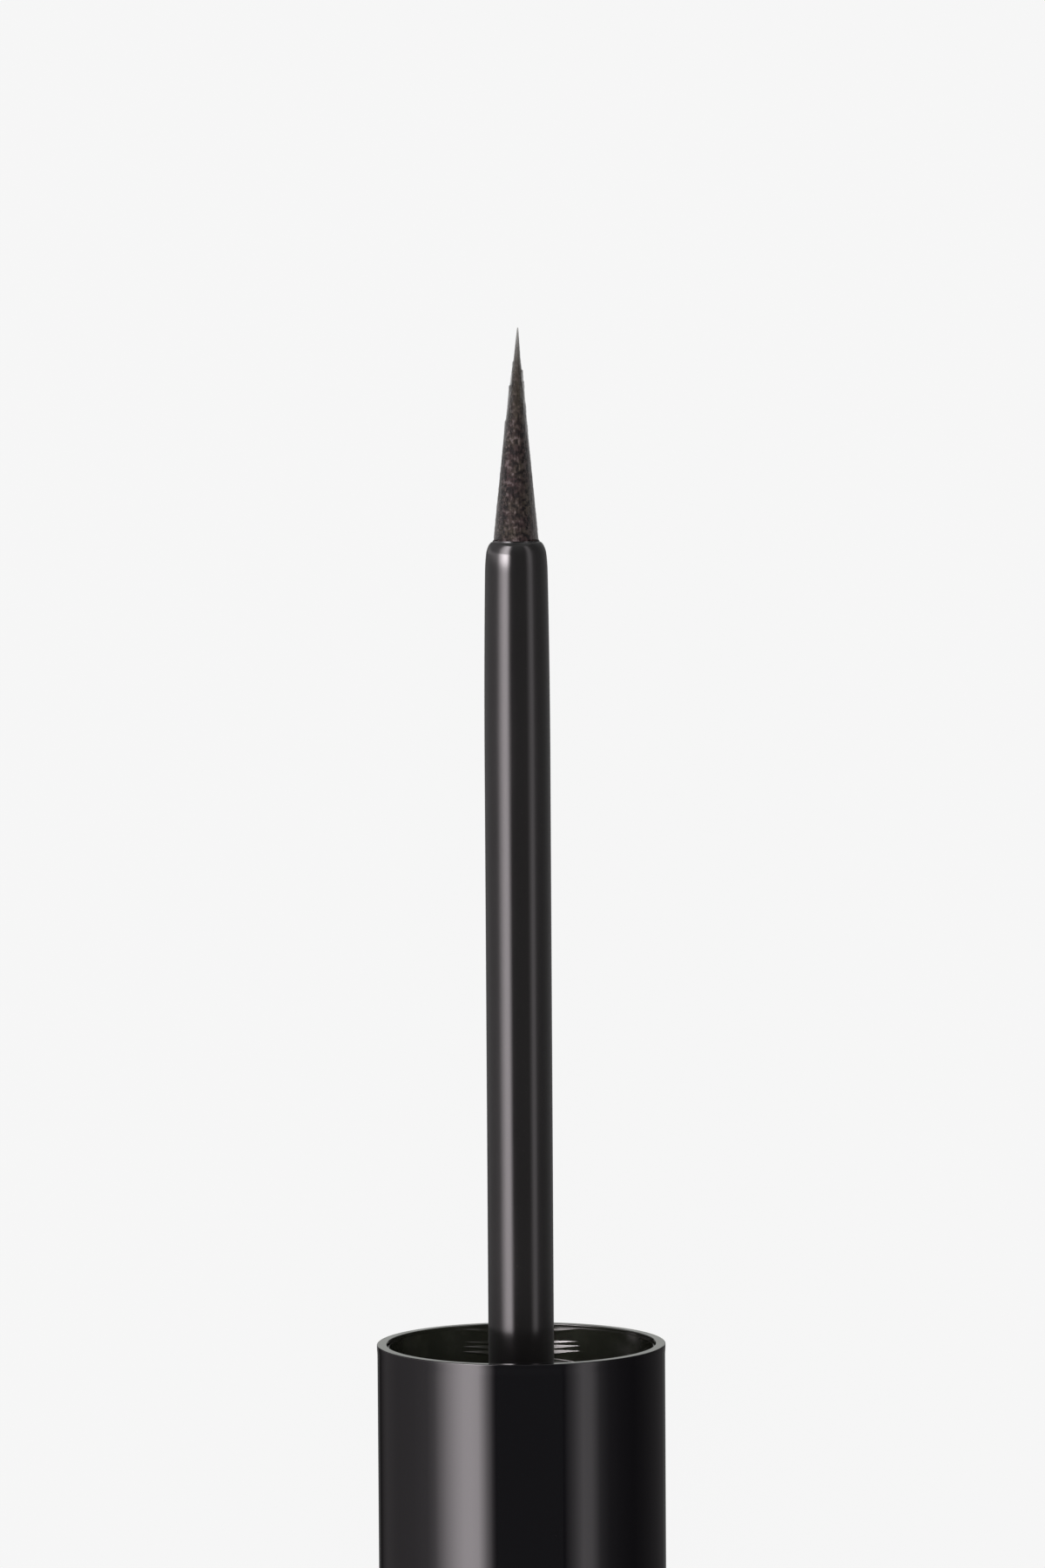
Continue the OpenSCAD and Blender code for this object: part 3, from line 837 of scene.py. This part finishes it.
class EYELINER_OT_felt_tip(PieceOperator, bpy.types.Operator):
    """Lay up the tapered felt tip, with its fibres, its worn ledges and its tail"""

    bl_idname = "eyeliner.felt_tip"
    bl_label = "Felt tip"

    # Ledges where worn fibres end: distance from the point and height in mm, and angle in degrees
    LEDGES = (
        (1.50, 0.024, 268), (1.88, 0.055, 90), (2.40, 0.036, 95), (2.58, 0.042, 270), (4.18, 0.036, 268),
        (2.15, 0.030, 10), (3.05, 0.028, 190), (3.40, 0.024, 60), (4.70, 0.022, 150), (5.30, 0.020, 320),
        (5.80, 0.022, 230), (6.60, 0.018, 110),
    )
    LEDGE_WIDE = math.radians(34)
    # Layers of fibres: features to the mm along and across the felt, and strength
    LAYERS = ((1.6, 13, 0.65), (9, 11, 0.5))

    def build(self, pen):
        wand = pen.wand
        tip_x, tail_x, base_r = span("fibre_tip")
        base_x = tail_x - wand.tail_len
        tip_len = base_x - tip_x
        # The tip's even taper ends at the first share of its length, and its point begins at the second
        profile_x = [base_x, base_x - tip_len * 0.72, base_x - tip_len * 0.84, tip_x + wand.point_r]
        profile_r = [base_r, base_r * 0.32, base_r * 0.18, wand.point_r]
        step = 0.035 * MM
        places = np.arange(base_x, tip_x + wand.point_r, -step)
        radii = np.interp(-places, [-x for x in profile_x], profile_r)
        point = [(tip_x + wand.point_r * (1 - math.sin(a)), wand.point_r * math.cos(a))
                 for a in np.linspace(0, math.pi / 2, 5)]
        bevel = 0.08 * MM
        tail = held([(tail_x, 0), (tail_x, wand.tail_r - bevel), (tail_x - bevel, wand.tail_r),
                     (base_x, wand.tail_r)], closed=False)
        point[-1] = (tip_x, 0)
        outline = tail + list(zip(places, radii)) + point

        def relief(x, radius, angle):
            return self.fibres(x, radius, angle, wand, tip_x, base_x)

        piece = turned("felt_tip", outline, steps=FELT_STEPS, relief=relief)
        for vertex in piece.data.vertices:
            away = max(0.0, (base_x - vertex.co.x) / tip_len)
            vertex.co.y += wand.lean * away ** 2
        colours = pen.finish
        fit(piece, "fibre_tip", felt(
            "felt_brown", colours.felt_dark, colours.felt_brown, colours.felt_light, tip_x))

    def fibres(self, x, radius, angle, wand, tip_x, base_x):
        """Strands along the felt and ledges where some of them end; none on the tail."""
        strands = np.zeros_like(x)
        for row in range(x.shape[0]):
            if x[row, 0] >= base_x or radius[row, 0] <= wand.point_r:
                continue
            far, r = x[row, 0] / MM, radius[row, 0] / MM
            for k in range(FELT_STEPS):
                a = TURN * k / FELT_STEPS
                for along, across, strong in self.LAYERS:
                    at = Vector((far * along, math.cos(a) * r * across, math.sin(a) * r * across))
                    strands[row, k] += strong * noise.noise(at)
        taper_in = eased((radius - wand.point_r) / (0.25 * MM)) * eased((base_x - x) / (0.12 * MM))
        result = strands * wand.fuzz * taper_in
        for far, high, side in self.LEDGES:
            behind = (x - tip_x) / MM - far
            round_it = (angle - math.radians(side) + math.pi) % TURN - math.pi
            ledge = eased(behind / 0.05) * np.exp(-np.maximum(behind, 0) / 0.55)
            aside = np.exp(-(round_it / self.LEDGE_WIDE) ** 2)
            result = result + high * MM * ledge * aside * (x < base_x)
        return result


class EYELINER_OT_seal(PieceOperator, bpy.types.Operator):
    """Punch the loose foam seal on the insert's floor"""

    bl_idname = "eyeliner.seal"
    bl_label = "Foam seal"

    def build(self, pen):
        x0, x1, outer_r = span("cap_seal")
        hole_r = span("stem")[2] + 0.3 * MM
        middle = (x0 + x1) / 2
        bulge, bulge_edge, edge = 0.03 * MM, 0.3 * MM, 0.08 * MM
        # The neck's mouth has pressed a dent into it
        press_r = pen.bottle.neck_root_r - pen.bottle.neck_wall
        dent, dent_edge = 0.06 * MM, 0.1 * MM
        outline = softened([
            (x0, hole_r, edge),
            (x0, press_r - 0.2 * MM, dent_edge),
            (x0 + dent, press_r, dent_edge),
            (x0 + dent, press_r + 0.7 * MM, dent_edge),
            (x0, press_r + 0.9 * MM, dent_edge),
            (x0, outer_r - bulge, edge),
            (middle, outer_r, bulge_edge),
            (x1, outer_r - bulge, edge),
            (x1, hole_r, edge),
            (middle, hole_r - bulge * 0.5, bulge_edge),
        ])
        piece = turned("foam_seal", held(outline))
        fit(piece, "cap_seal", seal_foam("foam_white", pen.finish.foam))


class EYELINER_OT_sleeve(PieceOperator, bpy.types.Operator):
    """Turn the bottle's glossy outer sleeve"""

    bl_idname = "eyeliner.sleeve"
    bl_label = "Bottle sleeve"

    def build(self, pen):
        bottle = pen.bottle
        x0, x1, outer_r = span("bottle_sleeve")
        bore_r = outer_r - bottle.sleeve_wall
        bore_edge = 0.06 * MM
        outline = softened([
            (x0, bore_r, bore_edge),
            (x0, outer_r, CRISP),
            (x1, outer_r, bottle.trim_edge),
            (x1, bore_r, bore_edge),
        ])
        piece = turned("gloss_sleeve", held(outline))
        fit(piece, "bottle_sleeve", gloss_black("gloss_black_sleeve", pen.finish.gloss, 0.075))


class EYELINER_OT_base_plug(PieceOperator, bpy.types.Operator):
    """Mould the plug that closes the bottle's base, with its standing ring and gate mark"""

    bl_idname = "eyeliner.base_plug"
    bl_label = "Base plug"

    def build(self, pen):
        bottle, seat = pen.bottle, pen.cap.seat
        x0, x1, outer_r = span("base_plug")
        disc = bottle.plug_disc
        spigot_r = outer_r - bottle.sleeve_wall - seat
        cup_r = spigot_r - disc
        foot_r = outer_r - bottle.foot_wide
        deep = bottle.foot_deep
        foot_edge = 0.12 * MM
        gate_r, gate_x = 0.45 * MM, x0 + deep * 0.6
        outline = softened([
            (gate_x, 0, 0),
            (gate_x, gate_r, CRISP),
            (x0 + deep, gate_r + 0.08 * MM, CRISP),
            (x0 + deep, foot_r - 0.15 * MM, foot_edge),
            (x0, foot_r, foot_edge),
            (x0, outer_r, bottle.base_edge),
            (x0 + disc, outer_r, CRISP),
            (x0 + disc, spigot_r, CRISP),
            (x1, spigot_r, 0.2 * MM),
            (x1, cup_r, 0.15 * MM),
            (x0 + disc, cup_r, 0.3 * MM),
            (x0 + disc, 0, 0),
        ])
        piece = turned("end_plug", held(outline, closed=False))
        fit(piece, "base_plug", gloss_black("gloss_black_plug", pen.finish.gloss, 0.09))


class EYELINER_OT_vial(PieceOperator, bpy.types.Operator):
    """Mould the bottle's inner vial, with its flange and its threaded neck"""

    bl_idname = "eyeliner.vial"
    bl_label = "Vial"

    def build(self, pen):
        bottle, thread = pen.bottle, pen.thread
        x0, x1, flange_r = span("vial")
        vial_r = flange_r - bottle.sleeve_wall - bottle.vial_air
        bore_r = vial_r - bottle.vial_wall
        flange_x = x1 - bottle.neck_high
        under_x = flange_x - bottle.flange
        root_r = bottle.neck_root_r
        neck_bore_r = root_r - bottle.neck_wall
        edge = pen.cap.chamfer
        fine = 0.06 * MM
        cone_edge = 0.5 * MM
        fillet, fillet_step = 0.25 * MM, 0.07 * MM
        neck_x = flange_x + fillet
        outline = softened([
            (x0, 0, 0),
            (x0, vial_r, 0.8 * MM),
            (under_x, vial_r, 0.1 * MM),
            (under_x, flange_r, bottle.trim_edge),
            (flange_x, flange_r, bottle.trim_edge),
            (flange_x, root_r + fillet, 0),
            (neck_x - fillet_step, root_r + fillet_step, 0),
            (neck_x, root_r, 0),
            (x1 - edge, root_r, 0),
            (x1, root_r - edge, edge * 0.5),
            (x1, neck_bore_r, 0.06 * MM),
            (flange_x + bottle.cone_above, neck_bore_r, cone_edge),
            (flange_x - bottle.cone_below, bore_r, cone_edge),
            (x0 + bottle.vial_floor, bore_r, 0.7 * MM),
            (x0 + bottle.vial_floor, 0, 0),
        ])
        first = outline.index((neck_x, root_r))
        last = outline.index((x1 - edge, root_r))
        wall = evenly(neck_x, x1 - edge, root_r, fine)
        outline = held(outline[:first], closed=False) + wall + held(outline[last + 1:], closed=False)
        relief = ridges(thread, root_r, thread.neck_high, thread.neck_turns, flange_x + thread.neck_start)
        piece = turned("ink_vial", outline, relief=relief)
        fit(piece, "vial", satin_black("satin_black_vial", pen.finish.satin, 0.22))


class EYELINER_OT_wiper(PieceOperator, bpy.types.Operator):
    """Mould the soft wiper in the neck, stained by the liquid"""

    bl_idname = "eyeliner.wiper"
    bl_label = "Wiper"

    def build(self, pen):
        bottle, seat = pen.bottle, pen.cap.seat
        x0, x1, flange_r = span("wiper")
        neck_x = x1 - bottle.wiper_flange
        tube_r = bottle.neck_root_r - bottle.neck_wall - seat
        bore_r = tube_r - bottle.wiper_wall
        cone_x = neck_x - bottle.wiper_straight
        orifice_r = bottle.orifice_r
        cone_edge = 0.6 * MM
        rim_edge = pen.cap.chamfer * 1.3
        outline = softened([
            (x0, orifice_r, 0.12 * MM),
            (x0, orifice_r + bottle.wiper_wall, 0.2 * MM),
            (cone_x, tube_r, cone_edge),
            (neck_x, tube_r, CRISP),
            (neck_x, flange_r, CRISP),
            (x1, flange_r, rim_edge),
            (x1, bore_r, rim_edge),
            (cone_x, bore_r, cone_edge),
            (x0 + bottle.orifice_len, orifice_r, 0.25 * MM),
        ], steps=7)
        piece = turned("neck_wiper", held(outline))
        colours = pen.finish
        fit(piece, "wiper", natural_plastic("natural_plastic", colours.natural, colours.liquid, x0, x1))


class EYELINER_OT_ink(PieceOperator, bpy.types.Operator):
    """Pour the liquid that lies in the vial, climbing a little at its walls"""

    bl_idname = "eyeliner.ink"
    bl_label = "Ink"

    def build(self, pen):
        low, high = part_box("ink")
        radius = -low.z
        level = -pen.bottle.liquid_level
        climb = pen.bottle.meniscus
        # Half the width where the liquid touches the bore, and how far round from the lowest line that is
        half = math.sqrt(radius ** 2 - (level + climb) ** 2)
        start = math.atan2(half, -(level + climb))
        rows, columns = 160, 48
        # The climb falls off within about this distance from a wall
        reach = 0.28 * MM
        points = []
        for i in range(rows + 1):
            x = low.x + (high.x - low.x) * (1 - math.cos(math.pi * i / rows)) / 2
            ends_up = climb * math.exp(-min(x - low.x, high.x - x) / reach)
            for k in range(columns + 1):
                y = half * math.sin(math.pi * (k / columns - 0.5))
                up = climb * math.exp(-(half - abs(y)) / reach)
                points.append((x, y, level + min(climb, up + ends_up)))
            for k in range(1, columns):
                angle = start * (1 - 2 * k / columns)
                points.append((x, radius * math.sin(angle), -radius * math.cos(angle)))
        loop = 2 * columns
        faces = bands(rows + 1, loop)
        for first in (0, rows * loop):
            faces += [(first + k, first + k + 1, first + (loop - k - 1) % loop, first + (loop - k) % loop)
                      for k in range(1, columns - 1)]
            faces += [(first, first + 1, first + loop - 1),
                      (first + columns, first + columns - 1, first + columns + 1)]
        piece = new_piece("ink_pool", points, faces)
        self.make_room(piece, pen)
        fit(piece, "ink", liquid_ink("liquid_black", pen.finish.liquid))

    def make_room(self, piece, pen):
        """Cuts the ball's pocket out of the liquid, open at the top."""
        low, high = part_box("mixing_ball")
        pocket_r = (high.x - low.x) / 2 + pen.cap.seat
        combined(piece, ball_piece("pocket", (low + high) / 2, pocket_r), "DIFFERENCE")


def ball_piece(name, centre, radius, cuts=31):
    """A round ball of even four-sided faces: a cube with its edges cut and its points moved out."""
    shape = bmesh.new()
    bmesh.ops.create_cube(shape, size=1)
    bmesh.ops.subdivide_edges(shape, edges=shape.edges[:], cuts=cuts, use_grid_fill=True)
    for vertex in shape.verts:
        x, y, z = vertex.co * 2
        even = Vector([a * math.sqrt(max(0, 1 - b * b / 2 - c * c / 2 + b * b * c * c / 3))
                       for a, b, c in ((x, y, z), (y, z, x), (z, x, y))])
        vertex.co = centre + even.normalized() * radius
    bmesh.ops.recalc_face_normals(shape, faces=shape.faces)
    piece = placed(bpy.data.meshes.new(name), shape)
    piece.data.shade_smooth()
    return piece


class EYELINER_OT_ball(PieceOperator, bpy.types.Operator):
    """Grind the steel ball that stirs the liquid"""

    bl_idname = "eyeliner.ball"
    bl_label = "Mixing ball"

    def build(self, pen):
        low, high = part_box("mixing_ball")
        piece = ball_piece("stirring_ball", (low + high) / 2, (high.x - low.x) / 2)
        fit(piece, "mixing_ball", polished_steel("polished_steel", pen.finish.steel, pen.finish.liquid))


# Studio


class EYELINER_OT_studio(PieceOperator, bpy.types.Operator):
    """Set up the floor, the sky, the light sheets and the camera"""

    bl_idname = "eyeliner.studio"
    bl_label = "Studio"

    # Glowing sheets beside the pen: name, tint, brightness of the hot zone against the near end, and
    # the glow across the sheet as angle from straight up and radiance
    SHEETS = (
        ("light_sheet_left", (1.0, 0.925, 0.96), 3.7, (
            (-20, 0.0), (-23, 0.5), (-27.8, 2.2), (-31.3, 4.1), (-34.9, 6.1), (-41, 6.5), (-47, 6.3),
            (-53.5, 5.2), (-60, 3.8), (-66.7, 2.3), (-73.7, 1.0), (-81, 0.58), (-97, 0.40),
            (-116, 0.26), (-137, 0.18), (-152, 0.04), (-160, 0.02))),
        ("light_sheet_right", (1.0, 0.94, 0.97), 1.15, (
            (33, 0.0), (42, 0.62), (50, 1.4), (57, 1.25), (65, 0.36), (74, 0.14), (85, 0.08),
            (100, 0.045), (125, 0.08), (150, 0.09), (156, 0.08))),
    )
    # Places along the axis, in metres from the mouth: a sheet's two ends, where its hot zone begins
    # and is full, and where it fades and has faded
    SHEET_ENDS = (-0.75, 0.65)
    HOT_RISE = (-0.047, -0.086)
    HOT_FALL = (-0.135, -0.165)
    # Most that is left of the hot zone's brightness beyond it
    AFTERGLOW = 1.6
    # The card under the table: its ends from the mouth, half its width and its depth, all in metres,
    # and its radiance
    CARD_ENDS = (-0.118, -0.034)
    CARD_WIDE = 0.16
    CARD_DEEP = 0.5
    CARD_GLOW = 0.64
    # Soft lamps: name, setting of its watts, width and height, and place from the mouth, in metres
    LAMPS = (
        ("lamp_left", "left_watts", (0.9, 0.5), (-0.03, -0.6, 0.24)),
        ("lamp_right", "right_watts", (0.9, 0.5), (-0.03, 0.6, 0.24)),
        ("lamp_end", "end_watts", (0.7, 0.5), (0.7, -0.2, 0.18)),
        ("lamp_above", "above_watts", (1.4, 1.4), (-0.03, 0.0, 1.0)),
    )
    LAMP_AIM = -0.03

    def build(self, pen):
        studio = pen.studio
        scene = bpy.context.scene
        scene.view_settings.view_transform = "Standard"
        self.floor(studio)
        self.sky(scene, studio)
        for sheet in self.SHEETS:
            self.light_sheet(studio, *sheet)
        self.lip_card()
        for name, watts, size, place in self.LAMPS:
            self.lamp(name, getattr(studio, watts), size, place)
        self.camera(scene, studio)

    def camera(self, scene, studio):
        """Looks down on the pen from a little before the cap's mouth, which it sees into."""
        data = bpy.data.cameras.new("camera")
        camera = bpy.data.objects.new("camera", data)
        scene.collection.objects.link(camera)
        place = Vector((mouth() - studio.camera_back, studio.camera_side, studio.camera_high))
        aim = Vector((mouth() - studio.aim_back, studio.camera_side, 0))
        backward = (place - aim).normalized()
        right = Vector((0, 1, 0))
        up = backward.cross(right)
        facing = Matrix((right, up, backward)).transposed().to_4x4()
        camera.matrix_world = Matrix.Translation(place) @ facing @ Matrix.Rotation(-studio.roll, 4, "Z")
        data.sensor_fit = "VERTICAL"
        data.sensor_height = 36
        data.lens = data.sensor_height * (place - aim).length / studio.view_high
        data.clip_start = 0.01
        data.clip_end = 20
        scene.camera = camera

    def glow(self, piece, finish, tint, strength, hidden_from):
        """Makes a piece of the stage glow, and hides it from some kinds of rays."""
        finish.set("Emission Color", tint)
        finish.set("Emission Strength", strength)
        piece.data.materials.append(finish.material)
        for rays in hidden_from:
            setattr(piece, "visible_" + rays, False)

    def floor(self, studio):
        """The pale table that the pen lies on. It glows, so that shadows stay faint."""
        top = -span("cap_shell")[2]
        # Radii of the rings of faces, in metres. The last one is the table's edge
        rings = [0, 0.1, 0.3, 1, 4]
        steps = 96
        points = [(mouth() + r * math.cos(TURN * k / steps), r * math.sin(TURN * k / steps), top)
                  for r in rings for k in range(steps)]
        table = new_piece("table", points, bands(len(rings), steps), smooth=False)
        soak = studio.floor_soak
        finish = Finish("table_white", base_color=(soak,) * 3, roughness=0.9, specular_ior_level=0.0)
        self.glow(table, finish, (1, 1, 1), studio.pale - soak * studio.table_light,
                  ("glossy", "diffuse", "transmission", "shadow"))

    def sky(self, scene, studio):
        """As pale as the table for the camera. Nearly dark for the rest, but gloss mirrors soft ends."""
        world = bpy.data.worlds.new("sky")
        world.use_nodes = True
        wiring = Wiring(world.node_tree)
        background = wiring.tree.nodes["Background"].inputs
        rays = wiring.add("ShaderNodeLightPath").outputs
        direction = wiring.add("ShaderNodeTexCoord").outputs["Generated"]
        endwise = wiring.add("ShaderNodeSeparateXYZ", {0: direction}).outputs["X"]
        mirrored = wiring.sum("MULTIPLY", rays["Is Glossy Ray"], studio.end_light)
        dim = wiring.sum("MULTIPLY_ADD", wiring.sum("MULTIPLY", endwise, endwise), mirrored, studio.gloom)
        wiring.fill(background["Strength"],
                    wiring.spread(rays["Is Camera Ray"], 0.0, 1.0, dim, studio.pale))
        wiring.fill(background["Color"], (1, 1, 1))
        scene.world = world

    def light_sheet(self, studio, name, tint, hot, profile):
        """A curved, glowing sheet along one side of the pen, brightest in a band across it."""
        first, last = profile[0][0], profile[-1][0]
        count, bays = 60, 24
        start, end = (mouth() + place for place in self.SHEET_ENDS)
        points = []
        for i in range(count + 1):
            angle = math.radians(first + (last - first) * i / count)
            for k in range(bays + 1):
                x = start + (end - start) * k / bays
                points.append((x, studio.reach * math.sin(angle), studio.reach * math.cos(angle)))
        sheet = new_piece(name, points, bands(count + 1, bays + 1, loops=False), smooth=False)
        finish = Finish(name + "_glow", base_color=(0, 0, 0), specular_ior_level=0.0)
        angle = finish.sum("ARCTAN2", finish.along("Y"), finish.along("Z"))
        low, high = sorted((first, last))
        part = finish.spread(angle, math.radians(low), math.radians(high))
        peak = max(value for _, value in profile)
        stops = sorted(((a - low) / (high - low), (value / peak,) * 3) for a, value in profile)
        far = finish.along("X")
        rise, fall = ([mouth() + place for place in zone] for zone in (self.HOT_RISE, self.HOT_FALL))
        heat = finish.sum("MINIMUM", finish.spread(far, *rise, 1.0, hot),
                          finish.spread(far, *fall, hot, min(hot, self.AFTERGLOW)))
        strength = finish.sum("MULTIPLY", finish.ramp(part, stops), finish.sum("MULTIPLY", heat, peak))
        self.glow(sheet, finish, tint, strength, ("camera", "diffuse"))

    def lamp(self, name, watts, size, place):
        """A soft lamp that only matt surfaces show, turned to the mouth."""
        data = bpy.data.lights.new(name, "AREA")
        data.shape = "RECTANGLE"
        data.size, data.size_y = size
        data.energy = watts
        lamp = bpy.data.objects.new(name, data)
        bpy.context.scene.collection.objects.link(lamp)
        lamp.location = (mouth() + place[0], *place[1:])
        aim = Vector((mouth() + self.LAMP_AIM, 0, 0)) - lamp.location
        lamp.rotation_euler = aim.to_track_quat("-Z", "Y").to_euler()
        lamp.visible_camera = False
        lamp.visible_glossy = False

    def lip_card(self):
        """A card under the table whose glow only the cap's lip mirrors."""
        deep, wide = self.CARD_DEEP, self.CARD_WIDE
        x0, x1 = (mouth() + place for place in self.CARD_ENDS)
        corners = [(x0, -wide, -deep), (x1, -wide, -deep), (x1, wide, -deep), (x0, wide, -deep)]
        card = new_piece("lip_card", corners, [(0, 1, 2, 3)], smooth=False)
        finish = Finish("lip_card_glow", base_color=(0, 0, 0), specular_ior_level=0.0)
        finish.material.cycles.emission_sampling = "NONE"
        self.glow(card, finish, (0.97, 0.99, 0.95), self.CARD_GLOW, ("camera", "diffuse"))


# Add-on


PIECES = (
    EYELINER_OT_studio,
    EYELINER_OT_cap_shell,
    EYELINER_OT_inner_cap,
    EYELINER_OT_weight,
    EYELINER_OT_stem,
    EYELINER_OT_felt_tip,
    EYELINER_OT_seal,
    EYELINER_OT_sleeve,
    EYELINER_OT_base_plug,
    EYELINER_OT_vial,
    EYELINER_OT_wiper,
    EYELINER_OT_ink,
    EYELINER_OT_ball,
)


class EYELINER_PT_sidebar(bpy.types.Panel):
    """Lists the pieces and their settings in the sidebar"""

    bl_idname = "EYELINER_PT_sidebar"
    bl_label = "Dip eyeliner"
    bl_space_type = "VIEW_3D"
    bl_region_type = "UI"
    bl_category = "Eyeliner"

    def draw(self, context):
        for operator in PIECES:
            self.layout.operator(operator.bl_idname)
        for name in EyelinerSettings.__annotations__:
            group = getattr(context.scene.eyeliner, name)
            box = self.layout.box()
            for key in group.__annotations__:
                box.prop(group, key)


CLASSES = (
    CapSizes, WandSizes, BottleSizes, ThreadSizes, FinishColours, StudioSizes, EyelinerSettings,
    *PIECES, EYELINER_PT_sidebar,
)


def register():
    for item in CLASSES:
        bpy.utils.register_class(item)
    bpy.types.Scene.eyeliner = bpy.props.PointerProperty(type=EyelinerSettings)


def unregister():
    del bpy.types.Scene.eyeliner
    for item in reversed(CLASSES):
        bpy.utils.unregister_class(item)


def main():
    """Builds the studio and every piece."""
    register()
    for operator in PIECES:
        group, name = operator.bl_idname.split(".")
        getattr(getattr(bpy.ops, group), name)()


if __name__ == "__main__":
    main()
